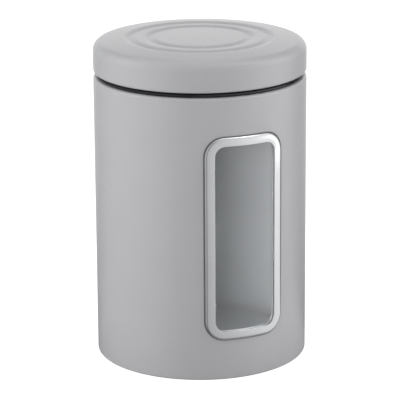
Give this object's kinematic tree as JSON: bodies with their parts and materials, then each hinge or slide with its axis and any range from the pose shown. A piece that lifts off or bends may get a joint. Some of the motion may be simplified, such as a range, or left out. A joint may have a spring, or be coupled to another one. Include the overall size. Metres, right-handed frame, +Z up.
{
  "type": "storage canister",
  "caption": "Round painted sheet-steel storage canister with a lift-off grooved lid that seals in a black collar and a tall curved window in a bright bezel.",
  "frame": {"origin": "centre of the base, on the surface that the canister stands on", "axes": "+Z up along the can's axis, which is also the way the lid lifts; the window faces -Y"},
  "size_m": [0.125, 0.1267, 0.1904],
  "materials": {
    "paint_grey": "satin powder coat, pale neutral grey, faint fine orange peel",
    "base_steel": "plain pressed sheet steel, dull",
    "collar_black": "glossy moulded black plastic",
    "bezel_bright": "bright plated bezel with a soft rolled edge",
    "seal_dark": "matt dark seal",
    "pane_clear": "clear polished acrylic",
    "retainer_grey": "satin moulded grey plastic",
    "plug_black": "satin moulded black plastic",
    "silicone_dark": "soft dark silicone"
  },
  "bodies": {
    "canister": {"body_shell": "paint_grey", "base_plate": "base_steel", "mouth_ring": "collar_black", "window_frame": "bezel_bright", "window_gasket": "seal_dark", "window_pane": "pane_clear", "window_retainer": "retainer_grey"},
    "lid": {"lid_shell": "paint_grey", "lid_insert": "plug_black", "lid_seal": "silicone_dark"}
  },
  "joints": [
    {"name": "lid_lift", "type": "slide", "parent": "canister", "child": "lid", "axis": [0, 0, 1], "range_m": [0, 0.12]}
  ]
}
